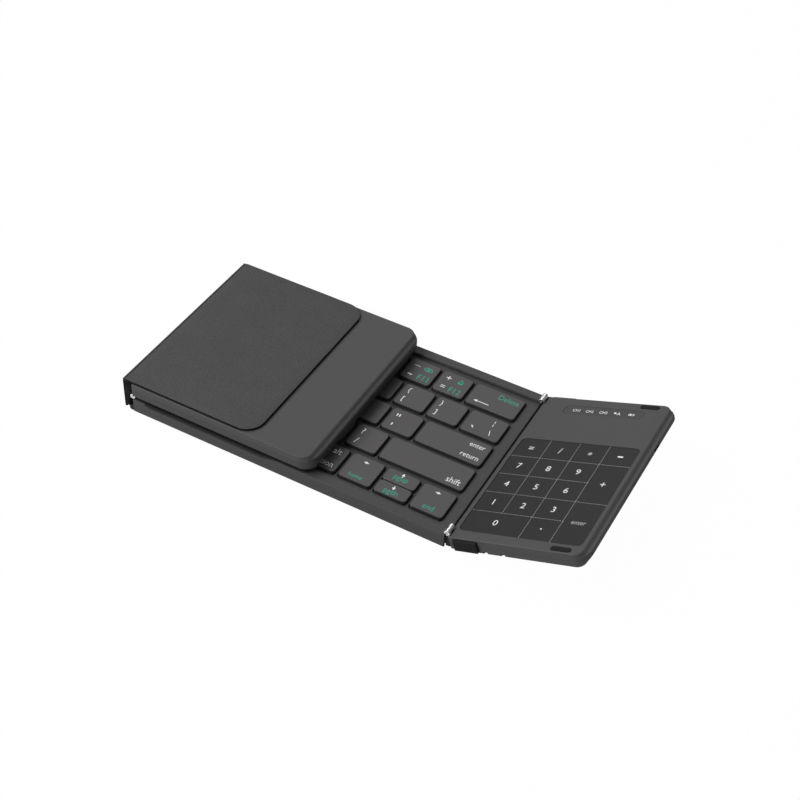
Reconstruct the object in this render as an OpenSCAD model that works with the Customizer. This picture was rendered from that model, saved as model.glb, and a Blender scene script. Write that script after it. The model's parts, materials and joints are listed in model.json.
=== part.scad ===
// Pocket keyboard in three panels joined by two hinge lines, with a soft cover.
// Origin: middle of the underside of the cover sheet below the centre panel.
// X runs along the keyboard, Y towards its back edge, Z up. Millimetres.

/* [Panels] */
// Distance between the two hinge axes
hinge_span = 155.6; // [155.6:0.2:160]
// Depth of the keyboard, front edge to back edge
depth = 98; // [98:0.5:102]
// Thickness of one panel, underside to rim
panel_height = 6.6; // [6.6:0.1:7.4]
// Length of the left panel from its hinge axis
left_length = 92.6; // [90:0.1:92.6]
// Length of the right panel from its hinge axis
right_length = 62.7; // [62:0.1:62.7]
// Height of the hinge axes above the rims
axis_rise = 1.1; // [1.1:0.05:1.4]
// Angle at which the right panel stands up from flat
right_angle = 21; // [0:1:90]
// Wall thickness of the mouldings
wall = 1.4; // [1.2:0.1:1.6]

/* [Keys] */
// Width of a letter key's top
key_w = 14.4; // [14:0.1:14.4]
// Depth of a key's top in the upper four rows
key_d = 13.6; // [13:0.1:13.6]
// Depth of a key's top in the front row
front_key_d = 14.6; // [14:0.1:14.6]
// Gap between two keys in a row
key_gap = 2.2; // [2:0.1:2.2]
// Distance between two rows
row_pitch = 16.65; // [16.65:0.05:16.75]
// Drop of the deck between the keys below the rims
deck_drop = 1.5; // [1.4:0.1:1.6]
// Travel of a key
key_travel = 1.2; // [0.8:0.1:1.2]
// Number of keys in a row of the left panel
left_columns = 6; // [5:1:6]

/* [Touchpad] */
// Length of the touchpad along the panel
pad_length = 55.6; // [50:0.2:55.6]
// Depth of the touchpad
pad_depth = 62.3; // [58:0.1:62.3]
// Distance of the touchpad from the hinge axis
pad_start = 2.6; // [2.5:0.1:2.6]
// Depth of the touchpad's surface below the rim
pad_sink = 0.25; // [0.1:0.05:0.4]

/* [Hinges] */
// Radius of the bright hinge barrels
barrel_r = 1.3; // [1.2:0.05:1.35]
// Radius of the hinge pins
pin_r = 0.5; // [0.4:0.05:0.6]
// Radial running clearance of a pin in the panel's barrels
pin_play = 0.05; // [0.03:0.01:0.08]

/* [Cover] */
// Thickness of the cover sheet under the centre panel
sheet_t = 1.3; // [1.3:0.1:1.6]
// Thickness of the cover's spine and flap
flap_t = 1.2; // [1:0.1:1.2]
// Distance of the cover's folds outside the left hinge axis
fold_offset = 3.7; // [3.5:0.1:5]
// Length of the flap from its fold
flap_length = 66.9; // [60:0.1:80]

/* [Hidden] */
$fn = 48;
eps = 0.01;
hx = hinge_span / 2;
hy = depth / 2;
shell_z = sheet_t;
rim_z = shell_z + panel_height;
axis_z = rim_z + axis_rise;
split_z = shell_z + 3;
floor_t = 1;
floor_z = shell_z + floor_t;
deck_z = rim_z - deck_drop;
deck_t = 1;
end_gap = 0.3;
near_r = 0.6;
far_r = 8;
right_far_r = 6.5;
edge_bevel = 0.3;
bevelled_section = [[-hy, shell_z + edge_bevel], [-hy + edge_bevel, shell_z],
    [hy - edge_bevel, shell_z], [hy, shell_z + edge_bevel], [hy, rim_z - edge_bevel],
    [hy - edge_bevel, rim_z], [-hy + edge_bevel, rim_z], [-hy, rim_z - edge_bevel]];
front_rim = 5.2;
back_rim = 5.0;

// Finger notch in the front rim of the centre panel
notch_x = [-71.6, -68.6, -10.6, -3.6];

// Key rows, back to front: front edge of the row and depth of its keys
row_y = [for (i = [0 : 3]) -22.95 + row_pitch * (3 - i)];
front_row_y = -41.1;
key_r = 1.5;
keys_right = 71.65;
cap_top_t = 0.9;
cap_wall = 0.9;
hole_play = 0.3;
skirt = 0.3;
crown = 0.35;

// Widths of the wide keys at the right end of each centre row, and of the front row's keys
delete_w = 23.65;
backslash_w = 17.8;
enter_w = 31.4;
shift_w = 39.6;
front_w = 14.9;
updown_gap = 0.8;

// Stack below the keys
board_t = 0.7;
plate_z = floor_z + 0.9;
plate_t = 0.4;
dome_z = plate_z + plate_t;
dome_sheet_t = 0.2;

// A pressed cap stays clear of the sheet, and its plunger stays clear of its dome
cap_low_z = dome_z + dome_sheet_t + key_travel + 0.05;
dome_h = rim_z - cap_top_t - 0.45 - key_travel - 0.55 - dome_z;

// Hinge barrels: spans along Y of the outer, middle and inner knuckle
outer_knuckle = [47.0, 48.2];
middle_knuckle = [44.4, 46.9];
inner_knuckle = [43.2, 44.3];
leaf_x = [0.4, 1.3];
leaf_z = split_z + 0.3;
foot_length = 6;
foot_t = 0.6;

// Hinge ears of the right panel, which close the gap below the barrels
ear_y = [47.2, 48.1];
ear_r = [2.2, 7.2];
relief_x = 2.4;

// Cover folds
fold_x = -hx - fold_offset;
low_fold_z = shell_z - 0.1;
high_fold_z = 2 * axis_z - low_fold_z;
sheet_inset = 1.2;
flap_half = 48.3;

// Places of the two outer panels

// Panel space of the right panel: X from the hinge axis outwards, Z as in the centre panel
module on_right() {
    translate([hx, 0, axis_z]) rotate([0, -right_angle, 0]) translate([0, 0, -axis_z]) children();
}

// Panel space of the left panel, turned over onto the centre panel: its Y points to the front
module on_left() {
    translate([-hx, 0, 2 * axis_z]) rotate([180, 0, 0]) children();
}

module at_both_ends() {
    children();
    mirror([0, 1, 0]) children();
}

// Basic shapes

// Flat outline with small corners at the hinge end and large ones at the free end
module outline(x0, x1, half, r0, r1) {
    translate([x0 + r0, -half]) square([x1 - r1 - x0 - r0, 2 * half]);
    translate([x0, -half + r0]) square([r0 + eps, 2 * (half - r0)]);
    translate([x1 - r1 - eps, -half + r1]) square([r1 + eps, 2 * (half - r1)]);
    for (side = [-1, 1]) {
        translate([x0 + r0, side * (half - r0)]) circle(r0);
        translate([x1 - r1, side * (half - r1)]) circle(r1);
    }
}

module rounded(x0, x1, y0, y1, r) {
    translate([x0 + r, y0]) square([x1 - x0 - 2 * r, y1 - y0]);
    translate([x0, y0 + r]) square([x1 - x0, y1 - y0 - 2 * r]);
    for (x = [x0 + r, x1 - r], y = [y0 + r, y1 - r]) translate([x, y]) circle(r);
}

module slab(z0, z1) {
    translate([0, 0, z0]) linear_extrude(z1 - z0) children();
}

module box(x0, x1, y0, y1, z0, z1) {
    translate([x0, y0, z0]) cube([x1 - x0, y1 - y0, z1 - z0]);
}

// Cylinder along Y from y0 to y1
module rod_y(x, z, y0, y1, r) {
    translate([x, y0, z]) rotate([-90, 0, 0]) cylinder(r = r, h = y1 - y0);
}

// Profile of X and Z points, drawn out along Y
module profile_xz(y0, y1, points) {
    translate([0, y1, 0]) rotate([90, 0, 0]) linear_extrude(y1 - y0) polygon(points);
}

// Profile of Y and Z points, drawn out along X
module profile_yz(x0, x1, points) {
    translate([x0, 0, 0]) rotate([90, 0, 90]) linear_extrude(x1 - x0) polygon(points);
}

// Panel body between two heights: its plan, the profile of its free end and its bevelled edges
module panel_body(length, far, end_profile, z0, z1) {
    intersection() {
        slab(z0, z1) outline(end_gap, length, hy, near_r, far);
        profile_xz(-hy - 1, hy + 1, end_profile);
        profile_yz(end_gap - 1, length + 1, bevelled_section);
    }
}

// Keys

// Left and right edge of key number i, counted from the right end of a centre row
function key_span(i, end_w) =
    i == 0 ? [keys_right - end_w, keys_right]
           : [keys_right - end_w - i * (key_gap + key_w), keys_right - end_w - (i - 1) * key_w - i * key_gap];

// The leftmost key of a centre row reaches the left end of the keys
function end_key_span(i, end_w) = [-keys_right, key_span(i, end_w)[1]];

// Left and right edge of key number i of the front row, counted from the right
function front_span(i) =
    let (right = keys_right - i * (front_w + key_gap)) [right - front_w, right];
front_span_space = [-keys_right, front_span(4)[0] - key_gap];
updown_y = front_row_y + (front_key_d - updown_gap) / 2;

// Each key as [left, right, front, back]
function in_row(row, span) = [span[0], span[1], row_y[row], row_y[row] + key_d];
function in_front(span) = [span[0], span[1], front_row_y, front_row_y + front_key_d];

delete_key = in_row(0, key_span(0, delete_w));
equals_key = in_row(0, key_span(1, delete_w));
minus_key = in_row(0, key_span(2, delete_w));
digit_keys = [for (i = [3 : 6]) in_row(0, key_span(i, delete_w)), in_row(0, end_key_span(7, delete_w))];
backslash_key = in_row(1, key_span(0, backslash_w));
bracket_right_key = in_row(1, key_span(1, backslash_w));
bracket_left_key = in_row(1, key_span(2, backslash_w));
p_key = in_row(1, key_span(3, backslash_w));
y_to_o_keys = [for (i = [4 : 6]) in_row(1, key_span(i, backslash_w)),
    in_row(1, end_key_span(7, backslash_w))];
enter_key = in_row(2, key_span(0, enter_w));
quote_key = in_row(2, key_span(1, enter_w));
semicolon_key = in_row(2, key_span(2, enter_w));
h_to_l_keys = [for (i = [3 : 5]) in_row(2, key_span(i, enter_w)), in_row(2, end_key_span(6, enter_w))];
shift_key = in_row(3, key_span(0, shift_w));
slash_key = in_row(3, key_span(1, shift_w));
b_to_dot_keys = [for (i = [2 : 5]) in_row(3, key_span(i, shift_w)), in_row(3, end_key_span(6, shift_w))];
arrow_right_key = in_front(front_span(0));
arrow_up_key = [front_span(1)[0], front_span(1)[1], updown_y + updown_gap, front_row_y + front_key_d];
arrow_down_key = [front_span(1)[0], front_span(1)[1], front_row_y, updown_y];
arrow_left_key = in_front(front_span(2));
alt_key = in_front(front_span(3));
space_and_command_keys = [in_front(front_span(4)), in_front(front_span_space)];

centre_keys = concat(
    [delete_key, equals_key, minus_key], digit_keys,
    [backslash_key, bracket_right_key, bracket_left_key, p_key], y_to_o_keys,
    [enter_key, quote_key, semicolon_key], h_to_l_keys,
    [shift_key, slash_key], b_to_dot_keys,
    [arrow_right_key, arrow_up_key, arrow_down_key, arrow_left_key, alt_key], space_and_command_keys);

// Rows of the left panel in its panel space, where Y points to the front
left_keys_start = 6.1;
left_keys_length = 80.6;
left_key_w = (left_keys_length - (left_columns - 1) * key_gap) / left_columns;
function left_span(i) =
    let (start = left_keys_start + i * (left_key_w + key_gap)) [start, start + left_key_w];
function left_row(row) =
    let (y = row < 4 ? row_y[row] : front_row_y, d = row < 4 ? key_d : front_key_d,
         wide = row < 3 ? 0 : 1)
    [for (i = [0 : left_columns - 1 - wide])
        let (span = left_span(i), stretch = i == left_columns - 1 - wide ? wide * (left_key_w + key_gap) : 0)
        [span[0], span[1] + stretch, -y - d, -y]];
left_keys = [for (row = [0 : 4]) each left_row(row)];

// Hollow cap with a crowned top and a plunger in its middle
module key_cap(k) {
    mid = [(k[0] + k[1]) / 2, (k[2] + k[3]) / 2];
    ceiling_z = rim_z - cap_top_t;
    difference() {
        union() {
            slab(cap_low_z, rim_z - crown) rounded(k[0] - skirt, k[1] + skirt, k[2] - skirt, k[3] + skirt, key_r);
            slab(rim_z - crown - eps, rim_z) rounded(k[0], k[1], k[2], k[3], key_r);
        }
        box(k[0] - skirt + cap_wall, k[1] + skirt - cap_wall, k[2] - skirt + cap_wall,
            k[3] + skirt - cap_wall, cap_low_z - 1, ceiling_z);
    }
    translate([mid[0], mid[1], ceiling_z - 0.45]) cylinder(r = 1.6, h = 0.5);
}

module key_caps(keys) {
    for (k = keys) key_cap(k);
}

module key_holes(keys) {
    for (k = keys) slab(deck_z - 2 * deck_t, rim_z + 1)
        rounded(k[0] - skirt - hole_play, k[1] + skirt + hole_play, k[2] - skirt - hole_play,
            k[3] + skirt + hole_play, key_r);
}

// Silicone sheet with one low dome under each key
module dome_sheet(x0, x1, keys) {
    slab(dome_z, dome_z + dome_sheet_t) rounded(x0, x1, -42.5, 42.5, 1);
    for (k = keys) translate([(k[0] + k[1]) / 2, (k[2] + k[3]) / 2, dome_z + dome_sheet_t - eps])
        cylinder(r1 = 2.6, r2 = 1.5, h = dome_h - dome_sheet_t);
}

module key_plate(x0, x1) {
    slab(plate_z, plate_z + plate_t) rounded(x0, x1, -43.5, 43.5, 1);
}

// Shared parts of the panels

// Tray with walls up to z1; the screws pass its floor
module tray(x0, x1, r1, end_wall, z1, screws) {
    difference() {
        slab(shell_z, z1) outline(x0, x1, hy, near_r, r1);
        slab(floor_z, z1 + 1) outline(x0 + end_wall, x1 - wall, hy - wall, near_r, max(near_r, r1 - wall));
        for (s = screws) screw_clearance(s);
    }
}

module plate_rails(x0, x1) {
    at_both_ends() box(x0, x1, 42.6, 43.6, floor_z - eps, plate_z);
}

// Rim along one long edge: a bar whose outer and inner top edges are bevelled
module rim_bar(x0, x1, width) {
    profile_yz(x0, x1, [[hy - width, deck_z - eps], [hy, deck_z - eps], [hy, rim_z - edge_bevel],
        [hy - edge_bevel, rim_z], [hy - width + edge_bevel, rim_z], [hy - width, rim_z - edge_bevel]]);
}

// Screws stand on both long edges and are driven from below
screw_r = 0.7;
screw_head_r = 1.4;
screw_head_t = 0.7;
screw_length = 4;
function screw_places(xs) = [for (x = xs, y = [-45.9, 45.9]) [x, y]];
centre_screw_places = screw_places([-60, 0, 60]);
left_screw_places = screw_places([14, 54]);
right_screw_places = screw_places([20, 44]);

module screw_clearance(s) {
    translate([s[0], s[1], shell_z - 1]) cylinder(r = screw_r + 0.1, h = 5);
    translate([s[0], s[1], shell_z - 1]) cylinder(r = screw_head_r, h = 1 + screw_head_t);
}

module screws(places) {
    for (s = places) translate([s[0], s[1], shell_z]) difference() {
        union() {
            cylinder(r = screw_head_r, h = screw_head_t);
            cylinder(r = screw_r, h = screw_length);
        }
        for (turn = [0, 90]) rotate(turn) translate([-0.7, -0.15, -eps]) cube([1.4, 0.3, 0.35]);
    }
}

// Posts of the upper moulding that take the screws
module screw_posts(places, top_z) {
    for (s = places) translate([s[0], s[1], 0]) difference() {
        translate([0, 0, split_z]) cylinder(r = 1.6, h = top_z - split_z);
        translate([0, 0, split_z - 1]) cylinder(r = screw_r, h = shell_z + screw_length - split_z + 1);
    }
}

// Room for the barrels and their leaves at a hinge end, in panel space
module barrel_room(leaf_spans) {
    at_both_ends() {
        rod_y(0, axis_z, inner_knuckle[0] - 0.3, outer_knuckle[1] + 0.3, barrel_r + 0.35);
        for (span = leaf_spans) {
            box(end_gap - 1, leaf_x[1] + 0.05, span[0] - 0.05, span[1] + 0.05, leaf_z - eps, axis_z);
            box(end_gap - 1, leaf_x[0] + foot_length + 0.05, span[0] - 0.05, span[1] + 0.05, leaf_z - eps,
                leaf_z + foot_t + 0.05);
        }
    }
}

// Upper moulding of a key panel: wall, deck with key holes and two rims
module key_frame(x0, x1, r1, keys) {
    difference() {
        union() {
            difference() {
                slab(split_z, deck_z) outline(x0, x1, hy, near_r, r1);
                slab(split_z - 1, deck_z - deck_t) outline(x0 + wall, x1 - wall, hy - wall, near_r,
                    max(near_r, r1 - wall));
            }
            intersection() {
                union() {
                    rim_bar(x0, x1, back_rim);
                    mirror([0, 1, 0]) rim_bar(x0, x1, front_rim);
                }
                slab(deck_z - 1, rim_z) outline(x0, x1, hy, near_r, r1);
            }
            at_both_ends() box(x0 + 8, x1 - 10, 43, 43.6, plate_z + plate_t, deck_z - deck_t + eps);
        }
        key_holes(keys);
    }
}

// Centre panel

centre_x = hx - end_gap;

module ear_room() {
    at_both_ends() box(hx - 2.9, hx + 1, ear_y[0] - 0.3, ear_y[1] + 0.2, shell_z - 1, axis_z - 2);
}

module centre_bottom_shell() {
    color([0.19, 0.19, 0.20]) {
        difference() {
            tray(-centre_x, centre_x, near_r, 3.4, split_z, centre_screw_places);
            ear_room();
        }
        plate_rails(-70, 70);
    }
}

module centre_top_frame() {
    color([0.20, 0.20, 0.21]) {
        difference() {
            key_frame(-centre_x, centre_x, near_r, centre_keys);
            profile_xz(-hy - 1, -hy + front_rim + 0.4, [[notch_x[0], rim_z + eps], [notch_x[1], deck_z],
                [notch_x[2], deck_z], [notch_x[3], rim_z + eps]]);
            translate([hx, 0, 0]) mirror([1, 0, 0]) barrel_room([middle_knuckle]);
            translate([-hx, 0, 0]) barrel_room([middle_knuckle]);
            ear_room();
        }
        screw_posts(centre_screw_places, deck_z - eps);
    }
}

module centre_key_plate() {
    color([0.62, 0.63, 0.65]) key_plate(-72.6, 72.6);
}

module centre_domes() {
    color([0.55, 0.57, 0.60]) dome_sheet(-72.2, 72.2, centre_keys);
}

module centre_circuit_board() {
    color([0.05, 0.30, 0.16]) slab(floor_z, floor_z + board_t) rounded(-70, 70, -41.5, 41.5, 1);
}

module centre_screws() {
    color([0.55, 0.56, 0.58]) screws(centre_screw_places);
}

// Left panel, folded onto the centre panel with its underside up

// The back face steps down to a low nose at the free end
left_end = [[-1, shell_z], [left_length - 3.7, shell_z], [left_length - 3.1, shell_z + 0.15],
    [left_length - 2, shell_z + 0.8], [left_length - 1.4, shell_z + 0.95],
    [left_length - 0.6, shell_z + 1.05], [left_length, shell_z + 1.6],
    [left_length, rim_z], [-1, rim_z]];

module left_back_shell() {
    color([0.20, 0.20, 0.21]) on_left() {
        difference() {
            panel_body(left_length, far_r, left_end, shell_z, split_z);
            slab(floor_z, split_z + 1) outline(end_gap + wall, left_length - 3.4, hy - wall, near_r, far_r - 3.4);
            for (s = left_screw_places) screw_clearance(s);
        }
        plate_rails(6, 82);
    }
}

module left_top_frame() {
    color([0.20, 0.20, 0.21]) on_left() {
        difference() {
            key_frame(end_gap, left_length, far_r, left_keys);
            barrel_room([inner_knuckle, outer_knuckle]);
        }
        screw_posts(left_screw_places, deck_z - eps);
    }
}

module left_key_plate() {
    color([0.62, 0.63, 0.65]) on_left() key_plate(5, 88);
}

module left_domes() {
    color([0.55, 0.57, 0.60]) on_left() dome_sheet(5.4, 87.6, left_keys);
}

module left_screws() {
    color([0.55, 0.56, 0.58]) on_left() screws(left_screw_places);
}

// Discs that hold the flap against the panel's back
disc_places = [for (y = [-30, 30]) [57, y]];

module left_magnets() {
    color([0.70, 0.70, 0.72]) on_left()
        for (p = disc_places) translate([p[0], p[1], floor_z]) cylinder(r = 4, h = 0.8);
}

// Right panel with the touchpad

pad_front = -43.8;
pad_z = rim_z - pad_sink;
pad_t = 0.8;
pad_ledge = 1.5;
window_x = [12.2, 50.2];
window_y = [37.4, 43.9];
window_r = 3.1;
right_flat = right_length - 3;
right_foot = right_length - 2.9;

// The underside draws in towards the free end, and the top steps down to a low nose
right_end = [[-1, shell_z], [right_foot, shell_z], [right_foot + 0.4, shell_z + 0.5],
    [right_length - 0.1, split_z], [right_length, rim_z - 2.8], [right_length, rim_z - 2.1],
    [right_length - 0.4, rim_z - 1.6], [right_length - 1.1, rim_z - 1.4],
    [right_length - 1.6, rim_z - 1.2], [right_flat + 0.5, rim_z - 0.3], [right_flat, rim_z],
    [-1, rim_z]];
socket_x = 30;
socket_z = 4.5;

module right_bottom_shell() {
    color([0.19, 0.19, 0.20]) on_right() {
        difference() {
            panel_body(right_length, right_far_r, right_end, shell_z, split_z);
            slab(floor_z, split_z + 1) outline(end_gap + 3.2, right_foot - 1.6, hy - wall, near_r, right_far_r - 2);
            box(-1, relief_x, -hy - 1, hy + 1, shell_z - 1, axis_z - ear_r[1]);
            for (x = [15.9, 23.9]) at_both_ends() box(x, x + 1.7, hy - 0.9, hy + 1, shell_z - 1, shell_z + 1.2);
            at_both_ends() box(2.7, 13.9, hy - 0.7, hy + 1, shell_z + 0.5, split_z + 1);
            for (s = right_screw_places) screw_clearance(s);
            socket_opening();
        }
        hinge_ears();
    }
}

// Round ears that swing into the centre panel as the right panel is laid flat
module hinge_ears() {
    at_both_ends() intersection() {
        difference() {
            rod_y(0, axis_z, ear_y[0], ear_y[1], ear_r[1]);
            rod_y(0, axis_z, ear_y[0] - 1, ear_y[1] + 1, ear_r[0]);
        }
        profile_xz(ear_y[0] - 1, ear_y[1] + 1, [[end_gap + eps, axis_z], [0, axis_z],
            [-8 * sin(21), axis_z - 8 * cos(21)], [end_gap + eps, axis_z - 8]]);
    }
}

module socket_opening() {
    translate([socket_x, hy + 1, socket_z]) rotate([90, 0, 0]) linear_extrude(3)
        rounded(-4.65, 4.65, -1.65, 1.65, 1.6);
}

module right_top_shell() {
    color([0.20, 0.20, 0.21]) on_right() {
        difference() {
            panel_body(right_length, right_far_r, right_end, split_z, rim_z);
            slab(split_z - 1, rim_z - 1.8) outline(end_gap + wall, right_flat - 1, hy - wall, near_r, right_far_r - 2);
            slab(pad_z - pad_t, rim_z + 1)
                rounded(pad_start, pad_start + pad_length, pad_front, pad_front + pad_depth, 2.4);
            slab(split_z, rim_z) rounded(pad_start + pad_ledge, pad_start + pad_length - pad_ledge,
                pad_front + pad_ledge, pad_front + pad_depth - pad_ledge, 1);
            slab(rim_z - 0.6, rim_z + 1) rounded(window_x[0], window_x[1], window_y[0], window_y[1], window_r);
            at_both_ends() slab(rim_z - 0.4, rim_z + 1) rounded(46.3, 55.2, 45.4, 48.0, 1.2);
            at_both_ends() box(2.7, 13.9, hy - 0.7, hy + 1, split_z - 1, rim_z - 0.8);
            profile_xz(21.2, 25.8, [[right_length - 1.5, rim_z - 3.4], [right_length + 1, rim_z - 3.4],
                [right_length + 1, rim_z - 2.3], [right_length - 1.5, rim_z - 2.3]]);
            barrel_room([inner_knuckle, outer_knuckle]);
            socket_opening();
        }
        screw_posts(right_screw_places, rim_z - 1.8 + eps);
    }
}

module touchpad_plate() {
    color([0.13, 0.13, 0.14]) on_right() slab(pad_z - pad_t, pad_z)
        rounded(pad_start + 0.1, pad_start + pad_length - 0.1, pad_front + 0.1, pad_front + pad_depth - 0.1, 2.3);
}

module touch_sensor_board() {
    color([0.05, 0.30, 0.16]) on_right() slab(pad_z - pad_t - 0.6, pad_z - pad_t)
        rounded(pad_start + 2, pad_start + pad_length - 2, pad_front + 2, pad_front + pad_depth - 2, 1);
}

module main_board() {
    color([0.05, 0.30, 0.16]) on_right() {
        slab(floor_z, floor_z + 0.6) rounded(6, 50, 20, 44.9, 1);
        for (chip = [[12, 26, 6], [26, 30, 5], [40, 27, 4]])
            box(chip[0], chip[0] + chip[2], chip[1], chip[1] + chip[2], floor_z + 0.6 - eps, floor_z + 1.5);
    }
}

module battery() {
    color([0.75, 0.76, 0.78]) on_right() slab(floor_z, floor_z + 3) rounded(6, 44, -36, 14, 1.5);
}

module status_window() {
    color([0.17, 0.17, 0.18]) on_right() slab(rim_z - 0.6, rim_z - 0.1)
        rounded(window_x[0] + 0.1, window_x[1] - 0.1, window_y[0] + 0.1, window_y[1] - 0.1, window_r - 0.1);
}

// Rubber blocks in the front and back walls beside the hinge
module side_bumpers() {
    color([0.10, 0.10, 0.11]) on_right() at_both_ends()
        box(2.8, 13.8, hy - 0.7, hy + 1.2, shell_z + 0.6, rim_z - 0.9);
}

// Small pads that meet the centre panel's rims when the panel is folded over
module rim_bumpers() {
    color([0.10, 0.10, 0.11]) on_right() at_both_ends()
        slab(rim_z - 0.4, rim_z + 0.2) rounded(46.4, 55.1, 45.5, 47.9, 1.1);
}

module charge_socket() {
    color([0.60, 0.61, 0.63]) on_right() translate([socket_x, hy - 0.4, socket_z]) rotate([90, 0, 0]) difference() {
        linear_extrude(7) rounded(-4.5, 4.5, -1.55, 1.55, 1.5);
        translate([0, 0, -1]) linear_extrude(7.4) rounded(-4.2, 4.2, -1.25, 1.25, 1.2);
    }
}

module right_screws() {
    color([0.55, 0.56, 0.58]) on_right() screws(right_screw_places);
}

// Hinges, in panel space with the leaves on the positive side

module knuckle(span, bore) {
    difference() {
        union() {
            rod_y(0, axis_z, span[0], span[1], barrel_r);
            box(leaf_x[0], leaf_x[1], span[0], span[1], leaf_z, axis_z);
            box(leaf_x[0], leaf_x[0] + foot_length, span[0], span[1], leaf_z, leaf_z + foot_t);
        }
        rod_y(0, axis_z, span[0] - 1, span[1] + 1, bore);
    }
}

module hinge_pins() {
    at_both_ends() rod_y(0, axis_z, inner_knuckle[0], outer_knuckle[1], pin_r);
}

module centre_knuckles() {
    at_both_ends() knuckle(middle_knuckle, pin_r);
}

module panel_knuckles() {
    at_both_ends() {
        knuckle(inner_knuckle, pin_r + pin_play);
        knuckle(outer_knuckle, pin_r + pin_play);
    }
}

module left_hinge_pins() {
    color([0.75, 0.76, 0.78]) translate([-hx, 0, 0]) hinge_pins();
}

module left_hinge_centre_knuckles() {
    color([0.85, 0.86, 0.88]) translate([-hx, 0, 0]) centre_knuckles();
}

module left_hinge_panel_knuckles() {
    color([0.85, 0.86, 0.88]) on_left() panel_knuckles();
}

module right_hinge_pins() {
    color([0.75, 0.76, 0.78]) translate([hx, 0, 0]) hinge_pins();
}

module right_hinge_centre_knuckles() {
    color([0.85, 0.86, 0.88]) translate([hx, 0, 0]) mirror([1, 0, 0]) centre_knuckles();
}

module right_hinge_panel_knuckles() {
    color([0.85, 0.86, 0.88]) on_right() panel_knuckles();
}

// Soft cover: a sheet under the centre panel, a spine and a flap over the left panel's back

module cover_base() {
    color([0.15, 0.15, 0.16]) slab(0, sheet_t)
        mirror([1, 0, 0]) outline(-centre_x + sheet_inset, -fold_x - 0.1, hy - sheet_inset, near_r, 2);
}

module cover_spine() {
    color([0.15, 0.15, 0.16]) box(fold_x - flap_t, fold_x, -flap_half + 0.3, flap_half - 0.3,
        low_fold_z + 0.15, high_fold_z - 0.15);
}

module cover_flap() {
    color([0.15, 0.15, 0.16]) difference() {
        slab(high_fold_z, high_fold_z + flap_t)
            outline(fold_x + 0.1, fold_x + flap_length, flap_half, near_r, 9);
        for (p = disc_places) translate([p[0] - hx, p[1], high_fold_z - 1]) cylinder(r = 4, h = 1.5);
    }
}

module flap_steel_discs() {
    color([0.70, 0.70, 0.72]) for (p = disc_places)
        translate([p[0] - hx, p[1], high_fold_z]) cylinder(r = 4, h = 0.5);
}

// Key caps

module cap_colour() {
    color([0.24, 0.23, 0.24]) children();
}

module left_row_caps(row) {
    cap_colour() on_left() key_caps(left_row(row));
}

centre_bottom_shell();
centre_top_frame();
centre_key_plate();
centre_domes();
centre_circuit_board();
centre_screws();
left_back_shell();
left_top_frame();
left_key_plate();
left_domes();
left_screws();
left_magnets();
right_bottom_shell();
right_top_shell();
touchpad_plate();
touch_sensor_board();
main_board();
battery();
status_window();
side_bumpers();
rim_bumpers();
charge_socket();
right_screws();
left_hinge_pins();
left_hinge_centre_knuckles();
left_hinge_panel_knuckles();
right_hinge_pins();
right_hinge_centre_knuckles();
right_hinge_panel_knuckles();
cover_base();
cover_spine();
cover_flap();
flap_steel_discs();
cap_colour() key_cap(minus_key);  // key_minus
cap_colour() key_cap(equals_key);  // key_equals
cap_colour() key_cap(delete_key);  // key_delete
cap_colour() key_cap(p_key);  // key_p
cap_colour() key_cap(bracket_left_key);  // key_bracket_left
cap_colour() key_cap(bracket_right_key);  // key_bracket_right
cap_colour() key_cap(backslash_key);  // key_backslash
cap_colour() key_cap(semicolon_key);  // key_semicolon
cap_colour() key_cap(quote_key);  // key_quote
cap_colour() key_cap(enter_key);  // key_enter
cap_colour() key_cap(slash_key);  // key_slash
cap_colour() key_cap(shift_key);  // key_shift_right
cap_colour() key_cap(alt_key);  // key_alt_right
cap_colour() key_cap(arrow_left_key);  // key_arrow_left
cap_colour() key_cap(arrow_up_key);  // key_arrow_up
cap_colour() key_cap(arrow_down_key);  // key_arrow_down
cap_colour() key_cap(arrow_right_key);  // key_arrow_right
cap_colour() key_caps(digit_keys);  // keys_digits_6_to_0
cap_colour() key_caps(y_to_o_keys);  // keys_y_to_o
cap_colour() key_caps(h_to_l_keys);  // keys_h_to_l
cap_colour() key_caps(b_to_dot_keys);  // keys_b_to_dot
cap_colour() key_caps(space_and_command_keys);  // keys_space_and_command
left_row_caps(0);  // keys_left_row_1
left_row_caps(1);  // keys_left_row_2
left_row_caps(2);  // keys_left_row_3
left_row_caps(3);  // keys_left_row_4
left_row_caps(4);  // keys_left_row_5
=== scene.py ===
"""Pocket keyboard in three hinged panels with a soft cover: its looks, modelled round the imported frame."""

import json
from math import cos, pi, radians, sin

import bmesh
import bpy
from bpy.props import FloatProperty, FloatVectorProperty, PointerProperty
from mathutils import Matrix, Vector, noise


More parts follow.
